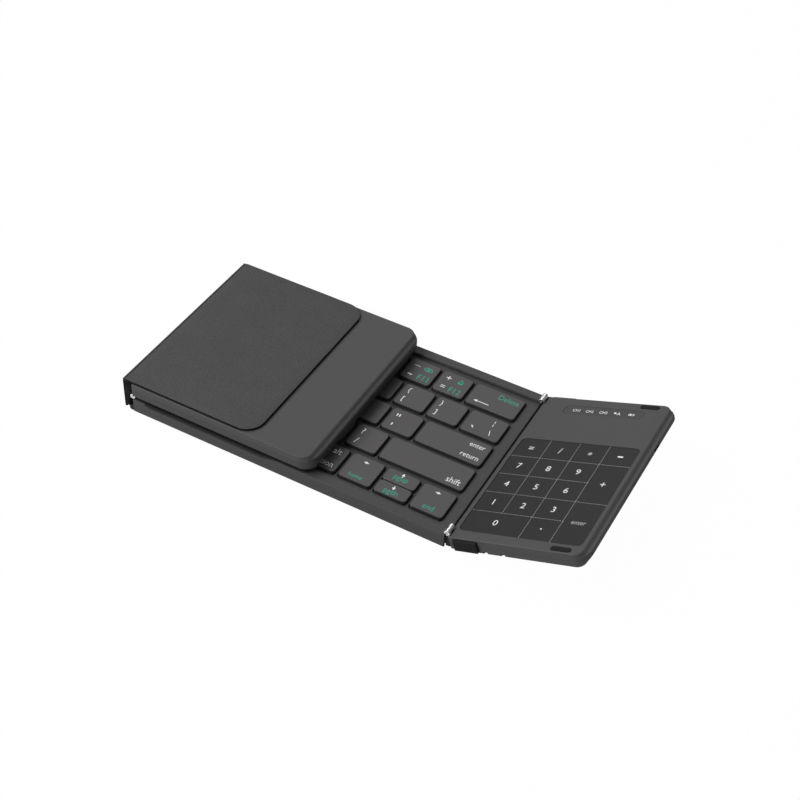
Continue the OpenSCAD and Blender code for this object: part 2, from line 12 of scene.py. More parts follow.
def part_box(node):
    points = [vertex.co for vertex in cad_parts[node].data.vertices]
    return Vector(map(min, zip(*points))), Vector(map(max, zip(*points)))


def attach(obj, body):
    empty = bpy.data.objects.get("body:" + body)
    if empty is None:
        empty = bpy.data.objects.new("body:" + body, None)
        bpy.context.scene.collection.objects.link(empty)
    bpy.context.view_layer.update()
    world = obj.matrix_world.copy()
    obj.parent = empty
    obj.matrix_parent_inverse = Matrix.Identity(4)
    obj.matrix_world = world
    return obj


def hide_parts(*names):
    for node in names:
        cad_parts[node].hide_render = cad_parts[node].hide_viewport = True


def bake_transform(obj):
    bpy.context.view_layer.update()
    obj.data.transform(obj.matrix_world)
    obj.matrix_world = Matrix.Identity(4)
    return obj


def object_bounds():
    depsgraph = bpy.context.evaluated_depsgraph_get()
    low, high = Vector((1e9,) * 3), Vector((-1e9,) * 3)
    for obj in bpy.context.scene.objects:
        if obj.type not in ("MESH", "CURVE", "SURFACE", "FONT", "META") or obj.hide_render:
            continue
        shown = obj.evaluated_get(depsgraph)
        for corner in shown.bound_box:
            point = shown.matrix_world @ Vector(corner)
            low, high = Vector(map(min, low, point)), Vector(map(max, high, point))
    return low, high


bl_info = {
    "name": "Folding keyboard",
    "version": (1, 0, 0),
    "blender": (4, 5, 0),
    "location": "View3D > Sidebar > Keyboard",
    "description": "Models and finishes a pocket keyboard in three hinged panels with a soft cover",
    "category": "Object",
}

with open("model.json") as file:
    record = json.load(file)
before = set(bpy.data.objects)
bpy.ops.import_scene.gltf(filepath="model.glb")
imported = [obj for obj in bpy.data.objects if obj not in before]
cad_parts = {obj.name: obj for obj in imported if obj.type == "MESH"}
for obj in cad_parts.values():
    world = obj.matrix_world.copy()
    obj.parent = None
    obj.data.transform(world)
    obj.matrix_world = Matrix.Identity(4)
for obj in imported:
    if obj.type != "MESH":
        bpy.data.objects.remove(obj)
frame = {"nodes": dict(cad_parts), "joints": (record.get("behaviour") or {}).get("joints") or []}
CAD_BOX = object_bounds()
MM = 0.001

# Hinge lines of the frame
JOINTS = {joint["name"]: joint for joint in frame["joints"]}
LEFT_AXIS = Vector(JOINTS["left_hinge"]["pos_m"])
RIGHT_AXIS = Vector(JOINTS["right_hinge"]["pos_m"])
RIGHT_LIFT = -JOINTS["right_hinge"]["range_deg"][0]
LOW_FOLD = Vector(JOINTS["spine_fold"]["pos_m"])
HIGH_FOLD = Vector(JOINTS["flap_fold"]["pos_m"])


def turned(point, degrees):
    """Turn about the line through a point along Y; a positive angle lifts what lies on its right."""
    move = Matrix.Translation(point)
    return move @ Matrix.Rotation(radians(degrees), 4, (0, -1, 0)) @ move.inverted()


# Panels are modelled as if the keyboard lay open and flat, then folded as they are at rest
FOLDS = {
    "centre": Matrix.Identity(4),
    "left_panel": turned(LEFT_AXIS, 180),
    "right_panel": turned(RIGHT_AXIS, RIGHT_LIFT),
}

# Painted shade in the mouldings, and how far it reaches: on the deck between the keys and on the end walls,
# both from the middle of the centre panel, on the right panel's hinge wall and on the folded panel's nose
# Near black painted shade for the walls that lie in the hinge gaps' shadow
GAP_SHADE_TONE = (0.003, 0.003, 0.003)
DECK_SHADE_REACH = (72 * MM, 41.9 * MM)
END_WALL_SHADE_X = 77.1 * MM
HINGE_WALL_SHADE = 0.75 * MM
NOSE_SHADE_REACH = 3.1 * MM

# Outer sizes of the panels, laid flat
HALF_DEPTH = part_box("centre_bottom_shell")[1].y
SHELL_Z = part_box("centre_bottom_shell")[0].z
RIM_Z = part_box("centre_top_frame")[1].z
CENTRE_KEYS = [name for name in frame["nodes"] if name.startswith("key")]

# Free ends of the panels, as inset from the end and drop from the outer face
RIGHT_NOSE = [(3.1, 0), (2.58, 0.32), (1.72, 1.27), (1.2, 1.48), (0.46, 1.68), (0.03, 2.15), (0.03, 2.82),
              (0.13, 3.62), (2.53, 6.12), (2.95, 6.6)]
LEFT_NOSE = [(3.8, 0), (3.2, 0.2), (2.12, 0.88), (1.5, 1.05), (0.66, 1.15), (0.03, 1.7), (0.01, 3.4)]
RIGHT_CORNER = 6.5 * MM
LEFT_CORNER = 8 * MM


def number(name, text, value, **choices):
    """A setting with its name and its description."""
    return FloatProperty(name=name, description=text, default=value, **choices)


def length(name, text, millimetres):
    """A length setting."""
    return number(name, text, millimetres * MM, min=0, unit="LENGTH")


def angle(name, text, degrees):
    """An angle setting."""
    return number(name, text, radians(degrees), unit="ROTATION")


def colour(name, text, *tone):
    """A colour setting; one value alone is a grey."""
    return FloatVectorProperty(name=name, description=text, subtype="COLOR", size=3, min=0, max=1,
                               default=tone * 3 if len(tone) == 1 else tone)


class KeyboardSizes(bpy.types.PropertyGroup):
    """Sizes of edges, prints and leather."""

    eased_edge: length("Eased edge", "Width of the broken edges of the mouldings", 0.12)
    long_edge: length("Long edge", "Radius of the outer panels' long edges", 0.5)
    cap_corner: length("Cap corner", "Plan radius of a key cap's corners", 1.6)
    cap_edge: length("Cap edge", "Radius of a key cap's top edge", 0.32)
    cap_wall: length("Cap wall", "Wall thickness of a key cap", 0.9)
    ink: length("Ink", "Height of the printed marks above their surface", 0.02)
    word_height: number("Word height", "Height of printed words over the font's own", 1.22, min=0.5, max=2)
    board_edge: length("Board edge", "Radius of the cover's edges", 0.34)
    board_wave: length("Board wave", "Unevenness of the cover's flap", 0.12)


class KeyboardColours(bpy.types.PropertyGroup):
    """Colours of the finishes, as linear values."""

    panel: colour("Panels", "Moulded outer panels", 0.078, 0.078, 0.079)
    # Painted shade: the nose's slope faces away from the lamps and is given a darker tone
    nose: colour("Nose", "Stepped free end of the folded panel", 0.054)
    rim: colour("Rims", "Walls and rims of the key panels", 0.063)
    # Painted shade: the deck is darkened for the shadow that falls between the keys
    deck: colour("Deck", "Surface between the keys", 0.044, 0.043, 0.043)
    cap: colour("Key caps", "Key caps", 0.092, 0.088, 0.090)
    # Painted shade: the caps' sides are a darker copy of the cap tone, for the shade on them
    cap_wall: colour("Cap walls", "Sides of the key caps", 0.044, 0.042, 0.043)
    leather: colour("Cover", "Leather of the cover", 0.076)
    leather_edge: colour("Cover edge", "Painted edge of the cover", 0.008)
    touch: colour("Touch surface", "Etched touch surface", 0.0265, 0.0265, 0.027)
    window: colour("Status window", "Smoked film over the lamps", 0.070, 0.070, 0.071)
    rubber: colour("Rubber", "Bumpers", 0.019, 0.019, 0.020)
    white_print: colour("White print", "White legends", 0.90)
    teal_print: colour("Second print", "Legends of the second layer", 0.025, 0.36, 0.25)
    faint_print: colour("Faint print", "Small print and dotted lines", 0.44)


class StageSettings(bpy.types.PropertyGroup):
    """Camera and lamps."""

    azimuth: angle("Azimuth", "Camera's angle round the object, from the front", 26.47)
    elevation: angle("Elevation", "Camera's angle above the table", 42.96)
    roll: angle("Roll", "Camera's turn about its own view line", 3.44)
    distance: length("Distance", "Camera's distance from what it looks at", 661.2)
    lens: number("Lens", "Focal length for a 36 mm sensor, in millimetres", 66.016, min=10, max=300)
    key_power: number("Key lamp", "Power of the large lamp on the left", 15.0)
    fill_power: number("Fill lamp", "Power of the lamp behind the object", 2.0)
    room_light: number("Room light", "Brightness of the surrounding room", 0.22)


def settings():
    """The sizes of this scene."""
    return bpy.context.scene.keyboard_sizes


# Finishes

def maths(operation, swapped=False):
    """A method that joins its object and what it is given in one maths node."""
    def method(self, *others):
        values = (*others, self) if swapped else (self, *others)
        return self.finish.node("ShaderNodeMath", {"operation": operation}, dict(enumerate(values)))
    return method


class Link:
    """An output socket that combines with Python's operators."""

    def __init__(self, finish, socket):
        self.finish = finish
        self.socket = socket

    __add__ = __radd__ = maths("ADD")
    __sub__ = maths("SUBTRACT")
    __rsub__ = maths("SUBTRACT", True)
    __mul__ = __rmul__ = maths("MULTIPLY")
    __abs__ = maths("ABSOLUTE")
    __lt__ = maths("LESS_THAN")
    __gt__ = maths("GREATER_THAN")
    either = maths("MAXIMUM")

    def between(self, low, high):
        """0 at low, 1 at high and straight in between."""
        return self.finish.node("ShaderNodeMapRange", {}, {0: self, 1: low, 2: high})


class Finish:
    """A node tree that is filled one node at a time."""

    def __init__(self, holder):
        holder.use_nodes = True
        self.tree = holder.node_tree
        self.tree.nodes.clear()

    def node(self, kind, choices, inputs, output=0):
        """Adds a node with its choices set first, then its inputs, and gives one of its outputs."""
        made = self.tree.nodes.new(kind)
        for name, value in choices.items():
            setattr(made, name, value)
        for name, value in inputs.items():
            socket = made.inputs[name]
            if isinstance(value, Link):
                self.tree.links.new(value.socket, socket)
            else:
                socket.default_value = value
        return Link(self, made.outputs[output])

    def place(self, stretch=(1, 1, 1)):
        """Object coordinates in millimetres, stretched along each axis."""
        coords = self.node("ShaderNodeTexCoord", {}, {}, "Object")
        scale = tuple(s / MM for s in stretch)
        return self.node("ShaderNodeMapping", {}, {"Vector": coords, "Scale": scale})

    def noise(self, place, size, detail=2.0, rough=0.5):
        return self.node("ShaderNodeTexNoise", {},
                         {"Vector": place, "Scale": 1 / size, "Detail": detail, "Roughness": rough})

    def cells(self, place, size, feature="F1"):
        return self.node("ShaderNodeTexVoronoi", {"feature": feature},
                         {"Vector": place, "Scale": 1 / size}, "Distance")

    def blend(self, first, second, share):
        """Mix of two colours, each a tuple or a link."""
        values = {0: share}
        for index, value in ((6, first), (7, second)):
            values[index] = value if isinstance(value, Link) else (*value, 1)
        return self.node("ShaderNodeMix", {"data_type": "RGBA"}, values, 2)

    def shades(self, tone, share, spread):
        """A colour that runs from a little darker to a little lighter with the share."""
        return self.blend(tuple(c * (1 - spread) for c in tone), tuple(c * (1 + spread) for c in tone), share)

    def bump(self, height, depth):
        return self.node("ShaderNodeBump", {}, {"Height": height, "Distance": depth * MM, "Strength": 1.0})

    def surface(self, tone, roughness, **inputs):
        """Ends the tree in one principled surface."""
        values = {"Base Color": tone if isinstance(tone, Link) else (*tone, 1), "Roughness": roughness}
        values.update({name.replace("_", " "): value for name, value in inputs.items()})
        shader = self.node("ShaderNodeBsdfPrincipled", {}, values)
        self.node_out(shader)

    def node_out(self, shader, kind="ShaderNodeOutputMaterial"):
        made = self.tree.nodes.new(kind)
        self.tree.links.new(shader.socket, made.inputs["Surface"])


def blank(name):
    """A new finish and its object coordinates."""
    finish = Finish(bpy.data.materials.new(name))
    return finish, finish.place()


def moulded_plastic(name, tone, grain=0.22, relief=0.012, roughness=0.52, end=None):
    """Spark-eroded moulding: a fine even grain with a faint drift in tone and gloss.
    An end is a point, the lift of the direction inwards, a reach that way and the painted shade within it."""
    finish, place = blank(name)
    fine = finish.noise(place, grain, 3, 0.6)
    drift = finish.noise(place, 18, 2)
    shown = finish.shades(tone, 0.7 * fine + 0.3 * drift, 0.12)
    # Painted shade at a panel's end: a darker tone within the reach inwards from the end
    if end:
        point, lift, reach, end_shade = end
        across, up = (finish.node("ShaderNodeSeparateXYZ", {}, {0: place}, axis) for axis in "XZ")
        inwards = (across - point.x / MM) * cos(radians(lift)) + (up - point.z / MM) * sin(radians(lift))
        shown = finish.blend(shown, end_shade, inwards < reach / MM)
    finish.surface(shown, fine.between(0.3, 0.7) * 0.08 + drift * 0.06 + (roughness - 0.07),
                   Specular_IOR_Level=0.3, Normal=finish.bump(fine, relief))


def key_panel_plastic(rim, deck):
    """Three tones in one moulding: the deck between the keys darkened with painted shade, the rims, and the
    end walls in the hinge gaps near black with painted shade.
    """
    finish, place = blank("key_panel_plastic")
    fine = finish.noise(place, 0.22, 3, 0.6)
    drift = finish.noise(place, 20, 2)
    along, across = (abs(finish.node("ShaderNodeSeparateXYZ", {}, {0: place}, axis)) for axis in "XY")
    # Painted shade between the keys: within this reach the deck takes its darker tone
    deck_shade_mask = (along < DECK_SHADE_REACH[0] / MM) * (across < DECK_SHADE_REACH[1] / MM)
    shade = 0.7 * fine + 0.3 * drift
    tone = finish.blend(finish.shades(rim, shade, 0.12), finish.shades(deck, shade, 0.12), deck_shade_mask)
    # Painted shade: the end walls past the hinge lines turn near black
    finish.surface(finish.blend(tone, GAP_SHADE_TONE, along > END_WALL_SHADE_X / MM), fine * 0.1 + drift * 0.05 + 0.42,
                   Specular_IOR_Level=0.3, Normal=finish.bump(fine, 0.012))


def satin(name, tone, tooth, patch, share, rubbed, roughness, relief):
    """A fine tooth with wide patches, a little smoother where fingers rest."""
    finish, place = blank(name)
    fine = finish.noise(place, *tooth)
    worn = finish.noise(place, *patch)
    finish.surface(finish.shades(tone, share * fine + (1 - share) * worn, 0.1),
                   worn.between(*rubbed) * 0.1 + roughness,
                   Specular_IOR_Level=0.3, Normal=finish.bump(fine, relief))


def speckled(name, tone, speckle, spread, gloss, relief, **inputs):
    """One speckle in tone, gloss and height."""
    finish, place = blank(name)
    speck = finish.noise(place, *speckle)
    finish.surface(finish.shades(tone, speck, spread), speck * gloss[0] + gloss[1],
                   Normal=finish.bump(speck, relief), **inputs)


def leather(name, tone, depth):
    """Pressed leather: small uneven pebbles with darker creases between them."""
    finish, place = blank(name)
    wander = finish.node("ShaderNodeTexNoise", {}, {"Vector": place, "Scale": 0.9, "Detail": 2.0}, "Color")
    bent = finish.node("ShaderNodeVectorMath", {"operation": "MULTIPLY_ADD"},
                       {0: wander, 1: (0.5, 0.5, 0.5), 2: place})
    creases = finish.cells(bent, 0.8, "DISTANCE_TO_EDGE").between(0.0, 0.22)
    fine = finish.noise(place, 0.2, 3, 0.6)
    drift = finish.noise(place, 14, 3)
    finish.surface(finish.shades(tone, creases * 0.45 + fine * 0.25 + drift * 0.3, 0.3),
                   0.7 - creases * 0.1 + fine * 0.06, Specular_IOR_Level=0.15,
                   Normal=finish.bump(creases * 0.8 + fine * 0.25, depth))


def metal(name, tone, roughness, brushed=(1, 1, 1), size=0.25, relief=0.004):
    """Metal with marks drawn out along one axis, or turned marks where they are even."""
    finish, place = blank(name)
    marks = finish.noise(finish.place(brushed), size, 3, 0.6)
    drift = finish.noise(place, 3, 2)
    finish.surface(finish.shades(tone, marks * 0.6 + drift * 0.4, 0.08), marks * 0.12 + (roughness - 0.06),
                   Metallic=1.0, Normal=finish.bump(marks, relief))


def circuit_board(tone, copper):
    """Solder mask over squared copper tracks, with bare pads."""
    finish, place = blank("solder_mask")
    wide = finish.node("ShaderNodeTexBrick", {"offset": 0.37, "squash": 0.6, "squash_frequency": 3},
                       {"Vector": place, "Scale": 1.0, "Mortar Size": 0.06, "Brick Width": 3.1,
                        "Row Height": 0.8}, "Fac")
    pads = finish.cells(place, 4.2) < 0.11
    track = tuple(c * 1.7 for c in tone)
    finish.surface(finish.blend(finish.blend(tone, track, wide), copper, pads), 0.34 - 0.1 * pads,
                   Metallic=pads * 0.9, Normal=finish.bump(wide.either(pads), 0.03))


def foil(tone):
    """Crumpled aluminium pouch."""
    finish, place = blank("crumpled_foil")
    crumple = finish.cells(place, 5) * 0.6 + finish.noise(place, 1.6, 3) * 0.4
    finish.surface(finish.shades(tone, crumple, 0.1), crumple * 0.15 + 0.3, Metallic=0.85,
                   Normal=finish.bump(crumple, 0.15))


def finishes():
    """Every finish by name, made once."""
    made = bpy.data.materials
    if "cap_plastic" in made:
        return made
    tones = bpy.context.scene.keyboard_colours
    free_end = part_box("left_back_shell")[1]
    # The folded panel's nose gets its darker painted shade
    moulded_plastic("folded_panel_plastic", tones.panel, end=(free_end, 180, NOSE_SHADE_REACH, tones.nose))
    # The right panel's hinge wall, within its reach of the hinge line, gets the near black painted shade
    moulded_plastic("raised_panel_plastic", tones.panel, end=(RIGHT_AXIS, RIGHT_LIFT, HINGE_WALL_SHADE, GAP_SHADE_TONE))
    moulded_plastic("smoked_film", tones.window, 0.3, 0.003, 0.5)
    key_panel_plastic(tones.rim, tones.deck)
    # Lit and shaded copies of one satin: the caps' tops, and their sides in darker painted shade
    for name, tone in (("cap_plastic", tones.cap), ("cap_wall_plastic", tones.cap_wall)):
        satin(name, tone, (0.16, 3, 0.65), (9, 2), 0.6, (0.35, 0.7), 0.44, 0.008)
    satin("touch_glass", tones.touch, (0.12, 2, 0.5), (12, 3, 0.6), 0.5, (0.3, 0.75), 0.4, 0.004)
    leather("pebbled_leather", tones.leather, 0.06)
    leather("painted_edge", tones.leather_edge, 0.02)
    metal("polished_chrome", (0.90, 0.90, 0.91), 0.16, (1, 0.1, 1), 0.2, 0.002)
    metal("ground_steel", (0.62, 0.63, 0.65), 0.3, (1, 0.15, 1))
    metal("zinc_steel", (0.42, 0.43, 0.45), 0.34)
    metal("sheet_steel", (0.50, 0.51, 0.53), 0.38, (0.08, 1, 1))
    metal("drawn_steel", (0.45, 0.46, 0.48), 0.3, (1, 0.2, 1))
    metal("nickel_plating", (0.55, 0.54, 0.52), 0.22)
    circuit_board((0.012, 0.09, 0.04), (0.72, 0.42, 0.16))
    foil((0.52, 0.53, 0.55))
    speckled("dusty_rubber", tones.rubber, (0.3, 4, 0.7), 0.25, (0.12, 0.68), 0.01, Specular_IOR_Level=0.12)
    speckled("cloudy_silicone", (0.30, 0.32, 0.35), (5, 3, 0.6), 0.1, (0.1, 0.4), 0.03)
    for name in ("white_print", "teal_print", "faint_print"):
        speckled(name, getattr(tones, name), (0.15, 2), 0.06, (0.1, 0.45), 0.003)
    return made


# Modelling

def face_outwards(bm):
    bmesh.ops.recalc_face_normals(bm, faces=bm.faces)


def merged(node, fold):
    """A CAD node's mesh with its triangles joined and its panel laid flat."""
    bm = bmesh.new()
    bm.from_mesh(frame["nodes"][node].data)
    bmesh.ops.remove_doubles(bm, verts=bm.verts, dist=0.001 * MM)
    bmesh.ops.transform(bm, matrix=fold.inverted(), verts=bm.verts)
    return bm


def extent(verts):
    """Low and high corner of some vertices."""
    return [Vector([pick(vert.co[axis] for vert in verts) for axis in range(3)]) for pick in (min, max)]


def flat_boxes(node, fold):
    """Low and high corner of each solid of a node, laid flat, from left to right."""
    bm = merged(node, fold)
    waiting = set(bm.verts)
    boxes = []
    while waiting:
        group = [waiting.pop()]
        for vert in group:
            for edge in vert.link_edges:
                other = edge.other_vert(vert)
                if other in waiting:
                    waiting.remove(other)
                    group.append(other)
        boxes.append(extent(group))
    bm.free()
    return sorted(boxes, key=lambda box: box[0].x)


def linked(name, data):
    """An object of its data, in the scene."""
    made = bpy.data.objects.new(name, data)
    bpy.context.scene.collection.objects.link(made)
    return made


def meshed(name, bm):
    """An object of a modelled mesh, which is used up."""
    mesh = bpy.data.meshes.new(name)
    bm.to_mesh(mesh)
    bm.free()
    return linked(name, mesh)


def piece(name, bm, fold, body, materials, nodes=()):
    """Folds a modelled piece, gives it its finishes and lets it ride on its body."""
    bmesh.ops.transform(bm, matrix=fold, verts=bm.verts)
    made = meshed(name, bm)
    mesh = made.data
    for material in materials:
        mesh.materials.append(finishes()[material])
    mesh.shade_smooth()
    mesh.set_sharp_from_angle(angle=radians(32))
    if nodes:
        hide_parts(*nodes)
    if body:
        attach(made, body)
    return made


def eased_node(node, body, material, width, form=None):
    """A CAD node's shape with its sharp edges broken; a form trims it to softer outer lines."""
    bm = merged(node, FOLDS[body])
    if form:
        bm = shared(bm, form)
    bmesh.ops.dissolve_limit(bm, angle_limit=radians(0.4), verts=bm.verts, edges=bm.edges)
    bmesh.ops.triangulate(bm, faces=[face for face in bm.faces if len(face.verts) > 4], ngon_method="BEAUTY")
    made = piece(node + "_eased", bm, FOLDS[body], body, [material], [node])
    bevel = made.modifiers.new("Broken edges", "BEVEL")
    bevel.width = width
    bevel.segments = 2
    bevel.limit_method = "ANGLE"
    bevel.angle_limit = radians(33)
    bevel.use_clamp_overlap = False
    bevel.loop_slide = False
    normals = made.modifiers.new("Flat faces", "WEIGHTED_NORMAL")
    normals.keep_sharp = True


def shared(bm, form):
    """What two closed forms have in common; both are used up."""
    first, second = (meshed("passing", item) for item in (bm, form))
    step = first.modifiers.new("cut", "BOOLEAN")
    step.operation = "INTERSECT"
    step.solver = "EXACT"
    step.object = second
    graph = bpy.context.evaluated_depsgraph_get()
    result = bmesh.new()
    result.from_mesh(first.evaluated_get(graph).data)
    for used in (first, second):
        mesh = used.data
        bpy.data.objects.remove(used)
        bpy.data.meshes.remove(mesh)
    bmesh.ops.remove_doubles(result, verts=result.verts, dist=0.002 * MM)
    return result


def rounded_face(bm, near, far, front, back, height, near_corner, far_corner, segments):
    """A flat face with one radius on its near corners and another on its far ones."""
    corners = [(near, front), (far, front), (far, back), (near, back)]
    verts = [bm.verts.new((x, y, height)) for x, y in corners]
    bm.faces.new(verts)
    for ends, radius in ((verts[1:3], far_corner), ([verts[0], verts[3]], near_corner)):
        bmesh.ops.bevel(bm, geom=ends, offset=radius, offset_type="OFFSET", affect="VERTICES",
                        segments=segments, profile=0.5, material=-1)
    return max(bm.faces, key=lambda face: face.calc_area())


def soft_edge(radius, steps):
    """Drop and inset along a quarter round, from the wall up to the face."""
    turns = [pi / 2 * step / steps for step in range(steps + 1)]
    return [(radius * (1 - sin(turn)), radius * (1 - cos(turn))) for turn in turns]


def drawn_out(bm, face):
    """Extrudes one face and gives the new one; the old one stays only as the closed end of a form."""
    inside = any(len(edge.link_faces) > 1 for edge in face.edges)
    region = bmesh.ops.extrude_face_region(bm, geom=[face])["geom"]
    if inside:
        bmesh.ops.delete(bm, geom=[face], context="FACES_ONLY")
    return next(item for item in region if isinstance(item, bmesh.types.BMFace))


def loft(bm, face, anchor, size, levels):
    """Raises a face through levels of height and of lost width and depth, drawn in towards an anchor."""
    width, depth = size
    for height, less in levels:
        face = drawn_out(bm, face)
        verts = list(face.verts)
        bmesh.ops.translate(bm, vec=(0, 0, height - verts[0].co.z), verts=verts)
        factors = ((size[0] - less) / width, (size[1] - less) / depth, 1)
        bmesh.ops.scale(bm, vec=factors, space=Matrix.Translation(-Vector((*anchor, 0))), verts=verts)
        width, depth = size[0] - less, size[1] - less


def smoothed(points):
    """Cuts the corners of an open line twice and keeps its ends."""
    for _ in range(2):
        cut = [points[0]]
        for (x0, y0), (x1, y1) in zip(points, points[1:]):
            cut += [((1 - share) * x0 + share * x1, (1 - share) * y0 + share * y1) for share in (0.25, 0.75)]
        points = cut + [points[-1]]
    return points


def inset_at(line, drop):
    """Inset of a nose line at a drop from the outer face."""
    for (inset, start), (next_inset, end) in zip(line, line[1:]):
        if drop <= end:
            share = (drop - start) / (end - start) if end > start else 0
            return inset + share * (next_inset - inset)
    return line[-1][0]


def plan(near, far, outward, half, radius, height):
    """Outline of an end panel at one height, with two round corners at its far end."""
    corner = [(far - outward * drop, half - inset) for drop, inset in soft_edge(radius, 14)]
    line = [(near, -half)] + [(x, -y) for x, y in corner] + corner[::-1] + [(near, half)]
    return [Vector((x, y, height)) for x, y in line]


def stacked(outlines):
    """A closed form through outlines that lie one above the other."""
    bm = bmesh.new()
    rows = [[bm.verts.new(point) for point in outline] for outline in outlines]
    for lower, upper in zip(rows, rows[1:]):
        for index, vert in enumerate(lower):
            bm.faces.new((lower[index - 1], vert, upper[index], upper[index - 1]))
    for row in (rows[0], rows[-1]):
        bm.faces.new(row)
    face_outwards(bm)
    return bm


def panel_form(near, far, nose, corner, face_up):
    """The outer form of an end panel: soft long edges, and a stepped nose that runs out round its corners.
    The nose's drops count down from the top face, or up from the underside where face_up is false."""
    sizes = settings()
    outward = 1 if far > near else -1
    skin = 0.01 * MM
    low, high = SHELL_Z + skin, RIM_Z - skin
    line = smoothed([(inset * MM, drop * MM) for inset, drop in nose])
    edge = soft_edge(sizes.long_edge, 5)
    heights = {low + drop for drop, _ in edge} | {high - drop for drop, _ in edge}
    heights |= {high - drop if face_up else low + drop for _, drop in line if low + drop < high}
    outlines = []
    for height in sorted(heights):
        inset = inset_at(line, high - height if face_up else height - low)
        gap = max(0.0, sizes.long_edge - min(height - low, high - height))
        side = sizes.long_edge - (max(0.0, sizes.long_edge ** 2 - gap ** 2)) ** 0.5
        outlines.append(plan(near - outward * 3.5 * MM, far - outward * inset, outward,
                             HALF_DEPTH - skin - side, corner - 1.1 * inset, height))
    return stacked(outlines)


# Places of the prints among a piece's materials; the number pad has faint print where caps have teal

# The last place holds the caps' steep sides, in a darker copy of the cap finish for painted shade
WHITE, TEAL, CAP_WALL_SHADE = 1, 2, 3
FAINT = 2


def pour(bm, part):
    """Adds a part to a piece and uses it up."""
    mesh = bpy.data.meshes.new("part")
    part.to_mesh(mesh)
    part.free()
    bm.from_mesh(mesh)
    bpy.data.meshes.remove(mesh)


def add_ink(bm, ink, material):
    """Adds a small closed ink shape to a piece, in one of its prints."""
    for face in ink.faces:
        face.material_index = material
    pour(bm, ink)


def raise_ink(bm, ink, material):
    """Gives flat ink its height and adds it to a piece."""
    face_outwards(ink)
    region = bmesh.ops.extrude_face_region(ink, geom=list(ink.faces))["geom"]
    verts = [item for item in region if isinstance(item, bmesh.types.BMVert)]
    bmesh.ops.translate(ink, vec=(0, 0, settings().ink), verts=verts)
    face_outwards(ink)
    add_ink(bm, ink, material)


def glyphs(text, size):
    """Letters as flat-sided ink, with the low and high corner of their box."""
    curve = bpy.data.curves.new("lettering", "FONT")
    curve.body = text
    curve.size = size
    curve.extrude = settings().ink / 2
    curve.resolution_u = 3
    carrier = bpy.data.objects.new("lettering", curve)
    mesh = bpy.data.meshes.new_from_object(carrier)
    bpy.data.objects.remove(carrier)
    bpy.data.curves.remove(curve)
    ink = bmesh.new()
    ink.from_mesh(mesh)
    bpy.data.meshes.remove(mesh)
    bmesh.ops.remove_doubles(ink, verts=ink.verts, dist=0.0005 * MM)
    return (ink, *extent(ink.verts))


def lettering(bm, text, size, place, material, side=0):
    """Prints words whose longer side has the given size in millimetres. The place is at their middle,
    at their left end for side -1 or at their right end for side 1."""
    trial, low, high = glyphs(text, MM)
    trial.free()
    longer = max(high.x - low.x, high.y - low.y)
    ink, low, high = glyphs(text, size * MM * MM / longer)
    middle = (low + high) / 2
    if len(text) > 2:
        taller = (1, settings().word_height, 1)
        bmesh.ops.scale(ink, vec=taller, space=Matrix.Translation(-middle), verts=ink.verts)
    anchor = Vector(((low.x, middle.x, high.x)[side + 1], middle.y, low.z))
    bmesh.ops.translate(ink, vec=Vector(place) - anchor, verts=ink.verts)
    add_ink(bm, ink, material)


def arrow(bm, place, reach, degrees, material):
    """Prints an arrow that points the given way."""
    ink = bmesh.new()
    stem, head = 0.42, 1.6
    half, tip = reach / 2, min(0.6 * reach, 1.1 * head)
    side = [(-half, stem / 2), (half - tip, stem / 2), (half - tip, head / 2)]
    points = [(x, -y) for x, y in side] + [(half, 0)] + side[::-1]
    ink.faces.new([ink.verts.new((x * MM, y * MM, 0)) for x, y in points])
    bmesh.ops.rotate(ink, matrix=Matrix.Rotation(radians(degrees), 3, "Z"), verts=ink.verts)
    bmesh.ops.translate(ink, vec=place, verts=ink.verts)
    raise_ink(bm, ink, material)


def stretched(place, width, depth):
    """Takes a shape of half-size 1 to a place, with its width and depth in millimetres."""
    return Matrix.Translation(place) @ Matrix.Diagonal((width * MM / 2, depth * MM / 2, 1, 1))


def ink_bar(bm, place, width, depth, material):
    """Prints a plain bar."""
    ink = bmesh.new()
    bmesh.ops.create_grid(ink, x_segments=1, y_segments=1, size=1, matrix=stretched(place, width, depth))
    raise_ink(bm, ink, material)


def ink_ring(bm, place, width, depth, line, material, sides=24):
    """Prints an oval outline."""
    ink = bmesh.new()
    rings = []
    for less in (0, 2 * line):
        shape = stretched(place, width - less, depth - less)
        ring = bmesh.ops.create_circle(ink, segments=sides, radius=1, matrix=shape)["verts"]
        rings += [edge for edge in ink.edges if all(vert in ring for vert in edge.verts)]
    bmesh.ops.bridge_loops(ink, edges=rings)
    raise_ink(bm, ink, material)


def ink_disc(bm, place, radius, material):
    """Prints a filled dot."""
    ink = bmesh.new()
    bmesh.ops.create_circle(ink, cap_ends=True, segments=12, radius=radius * MM,
                            matrix=Matrix.Translation(place))
    raise_ink(bm, ink, material)


def eye_mark(bm, place, material):
    """An eye: show or hide the screen."""
    ink_ring(bm, place, 4.3, 2.7, 0.45, material)
    ink_disc(bm, place, 0.72, material)


def lock_mark(bm, place, material):
    """A padlock: lock the screen."""
    ink_bar(bm, place + Vector((0, -0.7 * MM, 0)), 2.3, 1.6, material)
    ink_ring(bm, place + Vector((0, 0.5 * MM, 0)), 1.6, 2.1, 0.36, material, 16)


def battery_mark(bm, place, material):
    """A battery outline with its pole and its charge."""
    for shift, width, depth in ((-1.15, 0.22, 1.3), (1.15, 0.22, 1.3), (1.4, 0.24, 0.5), (-0.3, 0.8, 0.75)):
        ink_bar(bm, place + Vector((shift * MM, 0, 0)), width, depth, material)
    for shift in (-0.54, 0.54):
        ink_bar(bm, place + Vector((0, shift * MM, 0)), 2.1, 0.22, material)


# Legends: each mark is a kind, its text, its place from the cap's front left corner, its size and its print

